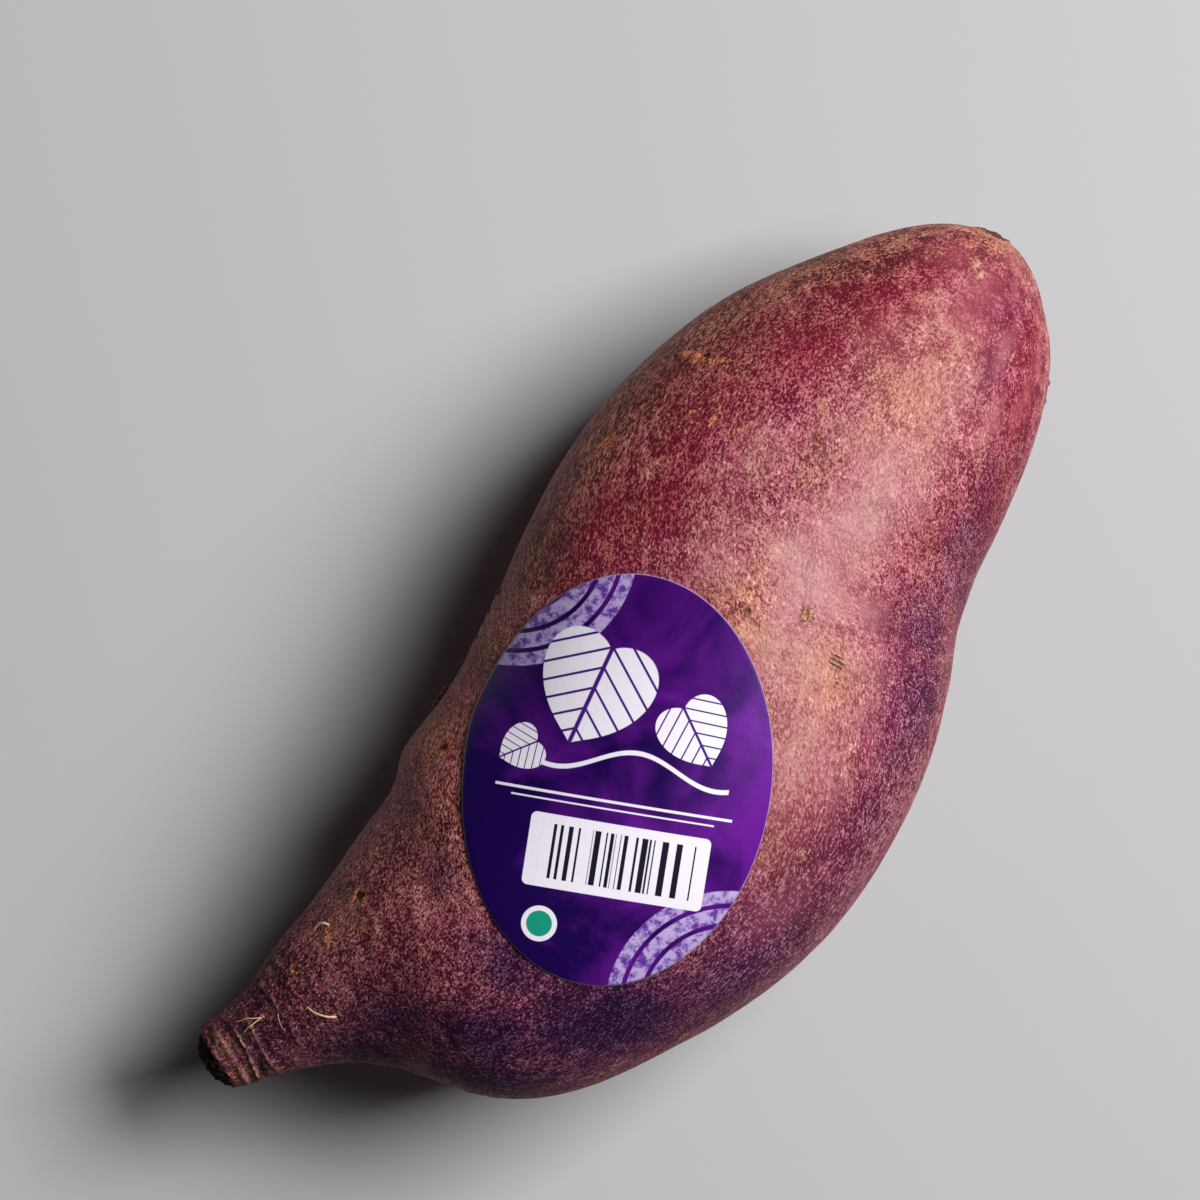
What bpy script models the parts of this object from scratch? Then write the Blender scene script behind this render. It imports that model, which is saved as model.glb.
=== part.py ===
"""A purple-skinned sweet potato lying on its back, with an oval fruit label on its upper side.

Metres, +Z up. +X runs along the root from its broken tail to its crown, and the origin is
under the middle of its bounding box, on the surface that it rests on.
"""

import math

import bpy
import numpy as np
from mathutils import Vector
from mathutils.bvhtree import BVHTree

MM = 0.001

# The root's middle line, in millimetres, from the tail's broken end to the crown's tip:
# x along the root, y across it, the height of the middle above or below the belly's,
# and the half width there before the two ends are rounded off
STATIONS = (
    (-71.6, 15.3, -2.0, 3.8),
    (-68.5, 14.0, -1.9, 4.4),
    (-64.0, 12.2, -1.6, 5.6),
    (-58.3, 10.5, -1.2, 8.0),
    (-52.5, 8.0, -0.8, 11.1),
    (-46.0, 4.6, -0.3, 16.4),
    (-39.0, 0.6, 0.1, 21.2),
    (-28.0, -2.5, 0.4, 24.6),
    (-14.0, -4.4, 0.3, 27.1),
    (2.0, -1.9, 0.0, 27.7),
    (17.6, 3.6, -0.3, 26.1),
    (33.0, 5.1, -0.5, 23.0),
    (49.0, 4.4, -0.6, 19.0),
    (66.0, 5.4, -0.6, 17.2),
)
TAIL_ROUNDING = 2.6 * MM
CROWN_ROUNDING = 28.0 * MM
# Sections stand square to the middle line's run over this distance each way
TURN_REACH = 5.0 * MM

# The section is a leaning ellipse, a little less deep than wide where the root is thick
FLATTENING = 0.08
LEAN = 2.2 * MM

# Ring ridges round the tail: distance from the broken end, height and half width of each
RIDGES = (
    (3.2 * MM, 0.30 * MM, 0.45 * MM),
    (5.2 * MM, 0.38 * MM, 0.50 * MM),
    (7.4 * MM, 0.32 * MM, 0.55 * MM),
    (11.2 * MM, 0.22 * MM, 0.60 * MM),
)
# They stray this far along the root, and fade down to a share of their height away from the
# side that they are tallest on
RIDGE_STRAY = 0.25 * MM
RIDGE_SIDE = math.radians(105)
RIDGE_LEAST = 0.15
# Low lumps and shallow dents: distance from the broken end, angle round the root in degrees
# (0 on the +Y side, 90 on top), height, and reach along and round the root
SWELLS = (
    (22.0 * MM, 70, 0.5 * MM, 6.0 * MM, 7.0 * MM),
    (34.0 * MM, 230, -0.6 * MM, 8.0 * MM, 9.0 * MM),
    (47.0 * MM, 30, 0.5 * MM, 9.0 * MM, 8.0 * MM),
    (58.0 * MM, 285, -0.7 * MM, 14.0 * MM, 9.0 * MM),
    (72.0 * MM, 215, 0.6 * MM, 12.0 * MM, 10.0 * MM),
    (88.0 * MM, 60, -0.5 * MM, 13.0 * MM, 8.0 * MM),
    (98.0 * MM, 320, 0.4 * MM, 12.0 * MM, 9.0 * MM),
    (104.0 * MM, 245, -0.9 * MM, 11.0 * MM, 8.0 * MM),
    (112.0 * MM, 110, 0.6 * MM, 10.0 * MM, 9.0 * MM),
    (124.0 * MM, 265, 0.5 * MM, 8.0 * MM, 8.0 * MM),
    (139.5 * MM, 145, -0.9 * MM, 3.5 * MM, 6.0 * MM),
)
# All this relief fades where the root is thinner than this half width
FULL_RELIEF_RADIUS = 4.0 * MM

# The stem scar is a shallow dish in the crown's tip
SCAR_RADIUS = 1.9 * MM
SCAR_DEPTH = 0.35 * MM

# The resting spot is where the underside's lowest part is flat
FLAT_DEPTH = 0.45 * MM

# The label, seen from above: its middle, its half width and half height, and the turn of its
# upward direction from +X
LABEL_MIDDLE = (-13.2 * MM, -0.3 * MM)
LABEL_HALF_WIDTH = 18.3 * MM
LABEL_HALF_HEIGHT = 24.7 * MM
LABEL_TURN = math.radians(31)
LABEL_GAP = 0.3 * MM
LABEL_THICKNESS = 0.25 * MM

# How finely the two solids are cut into faces
SEGMENTS = 60
FINEST_RING = 0.5 * MM
WIDEST_RING = 2.8 * MM
RINGED_TAIL = 9.0 * MM
RING_GROWTH = 0.2
LABEL_SPOKES = 48
LABEL_RINGS = 6

SKIN_COLOUR = (0.22, 0.035, 0.055, 1.0)
SKIN_ROUGHNESS = 0.6
LABEL_COLOUR = (0.025, 0.006, 0.12, 1.0)
LABEL_ROUGHNESS = 0.4


def clear_scene():
    for old in list(bpy.data.objects):
        bpy.data.objects.remove(old, do_unlink=True)


def material(name, colour, roughness):
    made = bpy.data.materials.new(name)
    made.use_nodes = True
    shader = made.node_tree.nodes["Principled BSDF"]
    shader.inputs["Base Color"].default_value = colour
    shader.inputs["Roughness"].default_value = roughness
    shader.inputs["Metallic"].default_value = 0.0
    made.diffuse_color = colour
    return made


def knot_slopes(knots, values):
    """Slopes at the knots of the cubic curve whose bend changes without a step."""
    span = np.diff(knots)
    rise = np.diff(values) / span
    count = len(knots)
    left = np.zeros((count, count))
    right = np.zeros(count)
    left[0, :2] = 2.0, 1.0
    right[0] = 3.0 * rise[0]
    left[-1, -2:] = 1.0, 2.0
    right[-1] = 3.0 * rise[-1]
    for i in range(1, count - 1):
        before, after = span[i - 1], span[i]
        left[i, i - 1 : i + 2] = after, 2.0 * (before + after), before
        right[i] = 3.0 * (after * rise[i - 1] + before * rise[i])
    return np.linalg.solve(left, right)


def smooth_curve(knots, values, places):
    """Values at the places on a smooth curve through the given values at the knots."""
    slopes = knot_slopes(knots, values)
    i = np.clip(np.searchsorted(knots, places, side="right") - 1, 0, len(knots) - 2)
    span = knots[i + 1] - knots[i]
    t = (places - knots[i]) / span
    rise = t * t * (3.0 - 2.0 * t)
    bend = slopes[i] * t * (1.0 - t) ** 2 - slopes[i + 1] * t * t * (1.0 - t)
    return values[i] + (values[i + 1] - values[i]) * rise + span * bend


class MiddleLine:
    """The root's middle line, read at any distance from the tail's broken end."""

    def __init__(self):
        x, y, z, girth = np.array(STATIONS).T * MM
        steps = np.hypot(np.diff(x), np.diff(y))
        self.knots = np.concatenate([[0.0], np.cumsum(steps)])
        self.x, self.y, self.z, self.girth = x, y, z, girth
        self.length = self.knots[-1]
        self.widest = girth.max()

    def centre(self, s):
        return [smooth_curve(self.knots, values, s) for values in (self.x, self.y, self.z)]

    def sideways(self, s):
        """The direction in plan that is square to the line."""
        ahead = self.centre(np.minimum(s + TURN_REACH, self.length))
        behind = self.centre(np.maximum(s - TURN_REACH, 0.0))
        run_x = ahead[0] - behind[0]
        run_y = ahead[1] - behind[1]
        run = np.hypot(run_x, run_y)
        return -run_y / run, run_x / run

    def half_width(self, s):
        to_crown = np.minimum((self.length - s) / CROWN_ROUNDING, 1.0)
        to_tail = np.minimum(s / TAIL_ROUNDING, 1.0)
        rounded = np.sqrt(1.0 - (1.0 - to_crown) ** 2) * np.sqrt(1.0 - (1.0 - to_tail) ** 2)
        return smooth_curve(self.knots, self.girth, s) * rounded


def relief(line, s, angle, radius):
    """How far the surface stands out from the plain section: ridges, lumps and dents."""
    out = np.zeros(np.broadcast(s, angle).shape)
    facing = (0.5 + 0.5 * np.cos(angle - RIDGE_SIDE)) ** 1.5
    tall = RIDGE_LEAST + (1.0 - RIDGE_LEAST) * facing
    for place, height, reach in RIDGES:
        wander = RIDGE_STRAY * np.sin(2.0 * angle + place / MM)
        uneven = 0.75 + 0.25 * np.sin(3.0 * angle + 2.0 * place / MM)
        out = out + height * tall * uneven * np.exp(-(((s - place - wander) / reach) ** 2))
    for place, degrees, height, reach_along, reach_round in SWELLS:
        turn = np.angle(np.exp(1j * (angle - math.radians(degrees))))
        round_it = turn * line.half_width(np.array(place))
        fade = ((s - place) / reach_along) ** 2 + (round_it / reach_round) ** 2
        out = out + height * np.exp(-fade)
    return out * np.minimum(radius / FULL_RELIEF_RADIUS, 1.0)


def skin_points(line, s, angle):
    """Points of the skin at distances s along the line and angles round it."""
    s, angle = np.broadcast_arrays(s, angle)
    x, y, z = line.centre(s)
    side_x, side_y = line.sideways(s)
    half_width = line.half_width(s)
    half_depth = half_width * (1.0 - FLATTENING * half_width / line.widest)
    out = relief(line, s, angle, half_width)
    across = (half_width + out) * np.cos(angle) - LEAN * half_width / line.widest * np.sin(angle)
    up = (half_depth + out) * np.sin(angle)
    dish = np.clip(1.0 - (half_width / SCAR_RADIUS) ** 2, 0.0, 1.0) * (s > 0.5 * line.length)
    back = SCAR_DEPTH * dish
    return np.stack(
        [x + side_x * across - side_y * back, y + side_y * across + side_x * back, z + up], axis=-1
    )


def ring_places(line):
    """Distances of the rings: close together at both ends and wide apart on the body."""
    places = [0.25 * FINEST_RING]
    while True:
        past_ridges = places[-1] - RINGED_TAIL
        to_crown = line.length - places[-1]
        step = min(
            FINEST_RING + RING_GROWTH * max(past_ridges, 0.0),
            max(FINEST_RING, RING_GROWTH * to_crown),
            WIDEST_RING,
        )
        if places[-1] + step > line.length - 0.5 * FINEST_RING:
            return np.array(places)
        places.append(places[-1] + step)


def new_object(name, points, faces, skin):
    mesh = bpy.data.meshes.new(name)
    mesh.from_pydata(points, [], faces)
    mesh.validate()
    mesh.shade_smooth()
    mesh.materials.append(skin)
    made = bpy.data.objects.new(name, mesh)
    bpy.context.scene.collection.objects.link(made)
    return made


def make_tuber(line):
    """The whole root as one closed skin, with its lowest part cut flat to rest on."""
    places = ring_places(line)
    angles = np.arange(SEGMENTS) * (2.0 * math.pi / SEGMENTS)
    grid = skin_points(line, places[:, None], angles[None, :]).reshape(-1, 3)
    tips = skin_points(line, np.array([0.0, line.length]), np.array([0.0, 0.0]))
    points = np.concatenate([grid, tips])
    points[:, 2] = np.maximum(points[:, 2], points[:, 2].min() + FLAT_DEPTH)
    low, high = points.min(axis=0), points.max(axis=0)
    origin = np.array([(low[0] + high[0]) / 2.0, (low[1] + high[1]) / 2.0, low[2]])
    points = points - origin

    faces = []
    last_ring = (len(places) - 1) * SEGMENTS
    tail_tip = len(grid)
    crown_tip = tail_tip + 1
    for k in range(SEGMENTS):
        after = (k + 1) % SEGMENTS
        faces.append((tail_tip, after, k))
        faces.append((crown_tip, last_ring + k, last_ring + after))
        for ring in range(0, last_ring, SEGMENTS):
            faces.append((ring + k, ring + after, ring + SEGMENTS + after, ring + SEGMENTS + k))
    skin = material("skin", SKIN_COLOUR, SKIN_ROUGHNESS)
    return new_object("sweet_potato", points.tolist(), faces, skin), origin


def make_label(tuber, origin):
    """The paper label, a thin closed sheet that follows the skin just clear of it."""
    tree = BVHTree.FromObject(tuber, bpy.context.evaluated_depsgraph_get())
    up_x, up_y = math.cos(LABEL_TURN), math.sin(LABEL_TURN)
    inner, outer = [], []
    spots = [(0.0, 0.0)]
    for ring in range(1, LABEL_RINGS + 1):
        share = ring / LABEL_RINGS
        for k in range(LABEL_SPOKES):
            turn = 2.0 * math.pi * k / LABEL_SPOKES
            right = LABEL_HALF_WIDTH * share * math.cos(turn)
            up = LABEL_HALF_HEIGHT * share * math.sin(turn)
            spots.append((right, up))
    for right, up in spots:
        x = LABEL_MIDDLE[0] + up_x * up + up_y * right - origin[0]
        y = LABEL_MIDDLE[1] + up_y * up - up_x * right - origin[1]
        place, normal, _, _ = tree.ray_cast(Vector((x, y, 1.0)), Vector((0.0, 0.0, -1.0)))
        inner.append(place + normal * LABEL_GAP)
        outer.append(place + normal * (LABEL_GAP + LABEL_THICKNESS))

    faces = []
    count = len(spots)
    rim = 1 + (LABEL_RINGS - 1) * LABEL_SPOKES
    for k in range(LABEL_SPOKES):
        after = (k + 1) % LABEL_SPOKES
        faces.append((count, count + 1 + k, count + 1 + after))
        faces.append((0, 1 + after, 1 + k))
        for ring in range(1, rim, LABEL_SPOKES):
            quad = (ring + k, ring + LABEL_SPOKES + k, ring + LABEL_SPOKES + after, ring + after)
            faces.append(tuple(count + corner for corner in quad))
            faces.append(tuple(reversed(quad)))
        faces.append((count + rim + k, rim + k, rim + after, count + rim + after))
    paper = material("label", LABEL_COLOUR, LABEL_ROUGHNESS)
    return new_object("label", inner + outer, faces, paper)


def main():
    clear_scene()
    line = MiddleLine()
    tuber, origin = make_tuber(line)
    make_label(tuber, origin)


main()
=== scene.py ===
"""The looks of a purple-skinned sweet potato that lies on its back on a pale floor.

The skin is a fine mesh with ring ridges, wrinkles, root scars and a broken tail. Dried rootlets
and small warts stand on it, and an oval paper label follows its upper side. Metres, +Z up. +X
runs along the root from its broken tail to its crown, and angles round it are in degrees: 0 on
the +Y side, 90 on top.
"""

import math

import bpy
import numpy as np
from mathutils import Matrix, Vector, noise
from mathutils.bvhtree import BVHTree


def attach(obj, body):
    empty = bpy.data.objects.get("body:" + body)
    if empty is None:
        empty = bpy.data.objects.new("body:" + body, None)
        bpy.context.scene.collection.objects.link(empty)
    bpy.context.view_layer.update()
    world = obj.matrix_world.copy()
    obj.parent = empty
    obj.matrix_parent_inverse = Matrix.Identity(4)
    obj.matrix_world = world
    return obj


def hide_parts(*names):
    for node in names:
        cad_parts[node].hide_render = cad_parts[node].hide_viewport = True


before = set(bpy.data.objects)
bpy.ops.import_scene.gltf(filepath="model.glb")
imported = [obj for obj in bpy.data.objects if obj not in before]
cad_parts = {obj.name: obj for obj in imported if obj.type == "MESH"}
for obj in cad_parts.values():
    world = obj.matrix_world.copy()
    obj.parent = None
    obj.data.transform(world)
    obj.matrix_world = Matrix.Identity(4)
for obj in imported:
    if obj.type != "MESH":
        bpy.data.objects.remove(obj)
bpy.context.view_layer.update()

MM = 0.001

# The root's middle line, in millimetres, from the tail's broken end to the crown's tip:
# x along the root, y across it, the height of the middle above or below the belly's,
# and the half width there before the two ends are rounded off
STATIONS = (
    (-71.6, 15.3, -2.0, 3.8),
    (-68.5, 14.0, -1.9, 4.4),
    (-64.0, 12.2, -1.6, 5.6),
    (-58.3, 10.5, -1.2, 8.0),
    (-52.5, 8.0, -0.8, 11.1),
    (-46.0, 4.6, -0.3, 16.4),
    (-39.0, 0.6, 0.1, 21.2),
    (-28.0, -2.5, 0.4, 24.6),
    (-14.0, -4.4, 0.3, 27.1),
    (2.0, -1.9, 0.0, 27.7),
    (17.6, 3.6, -0.3, 26.1),
    (33.0, 5.1, -0.5, 23.0),
    (49.0, 4.4, -0.6, 19.0),
    (66.0, 5.4, -0.6, 17.2),
)
TAIL_ROUNDING = 2.6 * MM
CROWN_ROUNDING = 28.0 * MM
# Sections stand square to the middle line's run over this distance each way
TURN_REACH = 5.0 * MM

# The section is a leaning ellipse, a little less deep than wide where the root is thick
FLATTENING = 0.08
LEAN = 2.2 * MM

# Ring ridges round the tail, in millimetres: distance from the broken end, height and half width
RIDGES = (
    (3.2, 0.30, 0.45),
    (5.2, 0.38, 0.50),
    (7.4, 0.32, 0.55),
    (11.2, 0.22, 0.60),
)
# They stray this far along the root, are uneven by a share of their height, and fade down to a
# least share away from the side that they are tallest on
RIDGE_STRAY = 0.25 * MM
RIDGE_UNEVEN = 0.25
RIDGE_FADE = 1.5
RIDGE_SIDE = math.radians(105)
RIDGE_LEAST = 0.15
# Low lumps and shallow dents, in millimetres and degrees: distance from the broken end, angle
# round the root, height, and reach along and round the root
SWELLS = (
    (22.0, 70, 0.5, 6.0, 7.0),
    (34.0, 230, -0.6, 8.0, 9.0),
    (47.0, 30, 0.5, 9.0, 8.0),
    (58.0, 285, -0.7, 14.0, 9.0),
    (72.0, 215, 0.6, 12.0, 10.0),
    (88.0, 60, -0.5, 13.0, 8.0),
    (98.0, 320, 0.4, 12.0, 9.0),
    (104.0, 245, -0.9, 11.0, 8.0),
    (112.0, 110, 0.6, 10.0, 9.0),
    (124.0, 265, 0.5, 8.0, 8.0),
    (139.5, 145, -0.9, 3.5, 6.0),
)
# All this relief fades where the root is thinner than this half width
FULL_RELIEF_RADIUS = 4.0 * MM

# The stem scar is a shallow dish in the crown's tip
SCAR_RADIUS = 1.9 * MM
SCAR_DEPTH = 0.35 * MM
# Its dark rough tissue lies round a place beside the tip, across and up from it, and tan skin
# rings it as far again
STEM_PLACE = (1.5 * MM, 1.2 * MM)
STEM_REACH = 2.3 * MM
# It stands out by this much, is rough by this much in lumps, and rises between these shares of
# nearness to that place
STEM_RISE = 0.22 * MM
STEM_ROUGHNESS = 0.25 * MM
STEM_LUMPS = 0.7 * MM
STEM_EDGE = (0.35, 0.6)

# The resting spot is where the underside's lowest part is flat
FLAT_DEPTH = 0.45 * MM

# How finely the skin is cut: spokes round the root, and ring spacing on the tail and the body
SPOKES = 256
RINGED_TAIL = 13.0 * MM
SPACING_BLEND = 10.0 * MM
TAIL_STEP = 0.16 * MM
BODY_STEP = 0.55 * MM
PROFILE_STEPS = 4000

# The picture: 1200 pixels across is 144 mm at the root's middle height, seen straight from above
# with the crown to the upper right
VIEW_WIDTH = 144.0 * MM
VIEW_MIDDLE = (4.7 * MM, 15.9 * MM, 25.0 * MM)
VIEW_TURN = math.radians(-50)
CAMERA_DISTANCE = 1.0
SENSOR = 36.0
# A square soft light shines on the root from this direction of the picture: right, up and out
LIGHT_DIRECTION = (0.56, 0.24, 0.79)
LIGHT_DISTANCE = 0.9
LIGHT_SIZE = 0.45
LIGHT_POWER = 12.5
SKY_STRENGTH = 0.03
FLOOR_HALF = 3.0


def smooth_step(low, high, value):
    t = np.clip((value - low) / (high - low), 0.0, 1.0)
    return t * t * (3.0 - 2.0 * t)


def bell(far):
    """1 at 0, and smoothly less on both sides."""
    return np.exp(-(far**2))


# The form of the root, by the rules of its solid


def knot_slopes(knots, values):
    """Slopes at the knots of the cubic curve whose bend changes without a step."""
    span = np.diff(knots)
    rise = np.diff(values) / span
    count = len(knots)
    left = np.zeros((count, count))
    right = np.zeros(count)
    left[0, :2] = 2.0, 1.0
    right[0] = 3.0 * rise[0]
    left[-1, -2:] = 1.0, 2.0
    right[-1] = 3.0 * rise[-1]
    for i in range(1, count - 1):
        before, after = span[i - 1], span[i]
        left[i, i - 1 : i + 2] = after, 2.0 * (before + after), before
        right[i] = 3.0 * (after * rise[i - 1] + before * rise[i])
    return np.linalg.solve(left, right)


def smooth_curve(knots, values, places):
    """Values at the places on a smooth curve through the given values at the knots."""
    slopes = knot_slopes(knots, values)
    i = np.clip(np.searchsorted(knots, places, side="right") - 1, 0, len(knots) - 2)
    span = knots[i + 1] - knots[i]
    t = (places - knots[i]) / span
    rise = t * t * (3.0 - 2.0 * t)
    bend = slopes[i] * t * (1.0 - t) ** 2 - slopes[i + 1] * t * t * (1.0 - t)
    return values[i] + (values[i + 1] - values[i]) * rise + span * bend


class MiddleLine:
    """The root's middle line, read at any distance from the tail's broken end."""

    def __init__(self):
        x, y, z, girth = np.array(STATIONS).T * MM
        steps = np.hypot(np.diff(x), np.diff(y))
        self.knots = np.concatenate([[0.0], np.cumsum(steps)])
        self.x, self.y, self.z, self.girth = x, y, z, girth
        self.length = self.knots[-1]
        self.widest = girth.max()

    def centre(self, s):
        return [smooth_curve(self.knots, values, s) for values in (self.x, self.y, self.z)]

    def sideways(self, s):
        """The direction in plan that is square to the line."""
        ahead = self.centre(np.minimum(s + TURN_REACH, self.length))
        behind = self.centre(np.maximum(s - TURN_REACH, 0.0))
        run_x = ahead[0] - behind[0]
        run_y = ahead[1] - behind[1]
        run = np.hypot(run_x, run_y)
        return -run_y / run, run_x / run

    def half_width(self, s):
        to_crown = np.minimum((self.length - s) / CROWN_ROUNDING, 1.0)
        to_tail = np.minimum(s / TAIL_ROUNDING, 1.0)
        rounded = np.sqrt(1.0 - (1.0 - to_crown) ** 2) * np.sqrt(1.0 - (1.0 - to_tail) ** 2)
        return smooth_curve(self.knots, self.girth, s) * rounded


def arc_round(line, angle, place, degrees):
    """The distance round the root from a place on it, signed, at each angle."""
    turn = np.angle(np.exp(1j * (angle - math.radians(degrees))))
    return turn * line.half_width(np.array(place))


def relief(line, s, angle, radius):
    """How far the surface stands out from the plain section: ridges, lumps and dents."""
    out = np.zeros(np.broadcast(s, angle).shape)
    facing = (0.5 + 0.5 * np.cos(angle - RIDGE_SIDE)) ** RIDGE_FADE
    tall = RIDGE_LEAST + (1.0 - RIDGE_LEAST) * facing
    for place, height, reach in RIDGES:
        wander = RIDGE_STRAY * np.sin(2.0 * angle + place)
        uneven = 1.0 - RIDGE_UNEVEN + RIDGE_UNEVEN * np.sin(3.0 * angle + 2.0 * place)
        ridge = bell((s - place * MM - wander) / (reach * MM))
        out = out + height * MM * tall * uneven * ridge
    for place, degrees, height, reach_along, reach_round in SWELLS:
        far_along = (s - place * MM) / (reach_along * MM)
        far_round = arc_round(line, angle, place * MM, degrees) / (reach_round * MM)
        out = out + height * MM * bell(far_along) * bell(far_round)
    return out * np.minimum(radius / FULL_RELIEF_RADIUS, 1.0)


def skin_points(line, s, angle):
    """Points of the skin at distances s along the line and angles round it."""
    s, angle = np.broadcast_arrays(s, angle)
    x, y, z = line.centre(s)
    side_x, side_y = line.sideways(s)
    half_width = line.half_width(s)
    half_depth = half_width * (1.0 - FLATTENING * half_width / line.widest)
    out = relief(line, s, angle, half_width)
    across = (half_width + out) * np.cos(angle) - LEAN * half_width / line.widest * np.sin(angle)
    up = (half_depth + out) * np.sin(angle)
    dish = np.clip(1.0 - (half_width / SCAR_RADIUS) ** 2, 0.0, 1.0) * (s > 0.5 * line.length)
    back = SCAR_DEPTH * dish
    return np.stack(
        [x + side_x * across - side_y * back, y + side_y * across + side_x * back, z + up], axis=-1
    )


# The root's fine skin

# Root scars, in millimetres and degrees: distance from the broken end, angle, half length and
# half width, turn from the root's run, the rim's height, the pit's depth, how flaky and tan they
# are, and how dark their pit is, less than 0 where it is a row of slits
ROOT_SCARS = (
    (47.6, 30, 1.5, 1.1, 50, 0.18, 0.16, 1, 0.9),
    (25.4, 46, 1.3, 1, 70, 0.2, 0.3, 1, 0.85),
    (20.6, 49.5, 2, 0.6, 112, 0.18, 0.02, 1, 0.1),
    (15.5, 53, 0.7, 0.6, 60, 0.12, 0.16, 0.8, 0.9),
    (64.3, 24, 1.7, 0.7, 50, 0.16, 0.06, 1, 0.5),
    (107.8, 27, 2.1, 0.6, 76, 0.2, 0.02, 1, 0.1),
    (108.7, 37, 2.2, 0.5, 56, 0.2, 0.02, 1, 0.1),
    (108.7, 32, 0.7, 0.5, 70, 0.05, 0.35, 0.2, 1),
    (97.4, 25, 1.6, 0.8, 65, 0.12, 0.03, 1, 0.1),
    (90, 102, 0.9, 0.8, 0, 0.12, 0.06, 1, 0.3),
    (85.5, 113.5, 0.8, 0.9, 8, 0.04, 0, 0.3, -0.8),
    (83.2, 115, 0.4, 0.3, 20, 0.05, 0.1, 0.4, 0.7),
    (87.9, 88, 0.6, 0.4, 20, 0.05, 0.08, 0.4, 0.6),
    (86.6, 91, 0.6, 0.3, 100, 0.05, 0.06, 0.4, 0.5),
    (108.8, 81, 1.1, 0.4, 110, 0.08, 0.02, 0.7, 0.1),
    (104.3, 52, 1.5, 0.4, -22, 0.08, 0.02, 0.7, 0),
    (104.4, 60, 0.9, 0.4, -10, 0.08, 0.02, 0.6, 0),
    (103.1, 45, 0.6, 0.5, 30, 0.08, 0.02, 0.7, 0),
    (45.1, 162, 1.2, 0.8, 30, 0.14, 0.3, 0.7, 1),
    (48.2, 160, 0.8, 0.5, 30, 0.14, 0.04, 0.8, 0.5),
    (39.9, 160, 0.9, 0.6, 30, 0.12, 0.15, 0.6, 0.9),
    (13.3, 101, 0.3, 0.2, 40, 0.1, 0, 1, 0),
    (17.3, 102, 0.6, 0.5, 40, 0.12, 0.16, 0.7, 0.9),
    (9.1, 66, 0.3, 0.3, 0, 0.12, 0.02, 1, 0),
    (8.8, 88, 0.7, 0.6, 0, 0.05, 0.16, 0, 0.8),
    (5, 128, 0.6, 0.5, 80, 0.12, 0.06, 0.6, 0.5),
    (2.2, 117, 0.4, 0.3, 50, 0.12, 0, 1, 0),
    (31.4, 52, 0.6, 0.4, 30, 0.06, 0.04, 0.7, 0.3),
    (24.3, 62, 0.5, 0.3, 90, 0.06, 0.02, 0.8, 0.1),
    (30.5, 301, 1.3, 0.9, 80, 0.16, 0.26, 0.9, 0.9),
    (52, 246, 1.1, 0.9, 30, 0.16, 0.22, 0.8, 0.8),
    (75, 336, 1.5, 0.7, 100, 0.14, 0.12, 0.9, 0.6),
    (78.5, 207, 1, 0.8, 70, 0.14, 0.18, 0.7, 0.8),
    (96, 283, 1.3, 0.9, 80, 0.14, 0.2, 0.8, 0.9),
    (111, 214, 0.9, 0.7, 20, 0.12, 0.16, 0.8, 0.6),
    (119, 318, 1.2, 0.6, 100, 0.14, 0.1, 0.9, 0.4),
    (129, 251, 0.8, 0.7, 0, 0.1, 0.12, 0.7, 0.7),
    (63, 292, 0.7, 0.5, 60, 0.1, 0.08, 0.8, 0.4),
    (24, 212, 0.9, 0.7, 90, 0.16, 0.18, 0.9, 0.7),
)
# As shares of a scar's size: the rim's radius, the reach of the rim and of the pit, and the
# radii between which its colours fade. The rim is ragged by a share, in lumps
RIM_RADIUS = 0.95
RIM_REACH = 0.42
PIT_REACH = 0.6
SCAR_FADE = (2.4, 3.2)
SCAR_RAGGED = 0.5
SCAR_LUMPS = 0.9 * MM

# Thin crests on the tail's rings, in millimetres: distance from the broken end, height and half
# width
CRESTS = (
    (3.5, 0.2, 0.3),
    (5.2, 0.3, 0.16),
    (7.4, 0.24, 0.15),
    (11.1, 0.07, 0.14),
)
# They are tallest at this angle, and fade as the cosine of the turn from it falls
CREST_SIDE = math.radians(103)
CREST_FADE = (0.35, 0.85)
# How far apart they are broken, how far they stray and how they waver
CREST_GAPS = 2.5 * MM
CREST_STRAY = 0.25 * MM
CREST_WAVER = 0.12 * MM
WAVER_SIZE = 1.6 * MM
# The height in millimetres at which one is worn, and its groove painted in shadow, in full
FULL_CREST = 0.28
# The worn skin before a crest, as a share of the crest's own wear, and the groove behind it, with
# its painted shadow
WORN_BEFORE = 0.7 * MM
WORN_REACH = 0.6 * MM
WORN_SHARE = 0.4
GROOVE_BEHIND = 0.8 * MM
GROOVE_REACH = 0.5 * MM
GROOVE_DEPTH = 0.12 * MM

# Layers of fine relief: height and size of the lumps in millimetres, octaves, how close they lie
# round the root as a share of along it, and the distances from the broken end between which
# the layer fades
RELIEF_LAYERS = (
    (0.16, 9.0, 2, 1.0, None),
    (0.035, 1.3, 3, 1.0, None),
    (0.13, 0.8, 2, 0.22, (24.0, 46.0)),
    (0.05, 0.7, 3, 1.0, (11.0, 18.0)),
    (0.35, 0.7, 3, 1.0, (0.9, 2.6)),
)
# All fine relief fades between these heights, so that the flat spot stays flat
FLOOR_FADE = (0.2 * MM, 2.5 * MM)

# The dark broken end reaches this far in millimetres, and further on one side of the root
END_REACH = 1.5
END_LEAN = 0.4
END_SIDE = math.radians(50)
# Its colour fades between these shares of the reach
END_BLEND = (0.75, 1.25)

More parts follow.
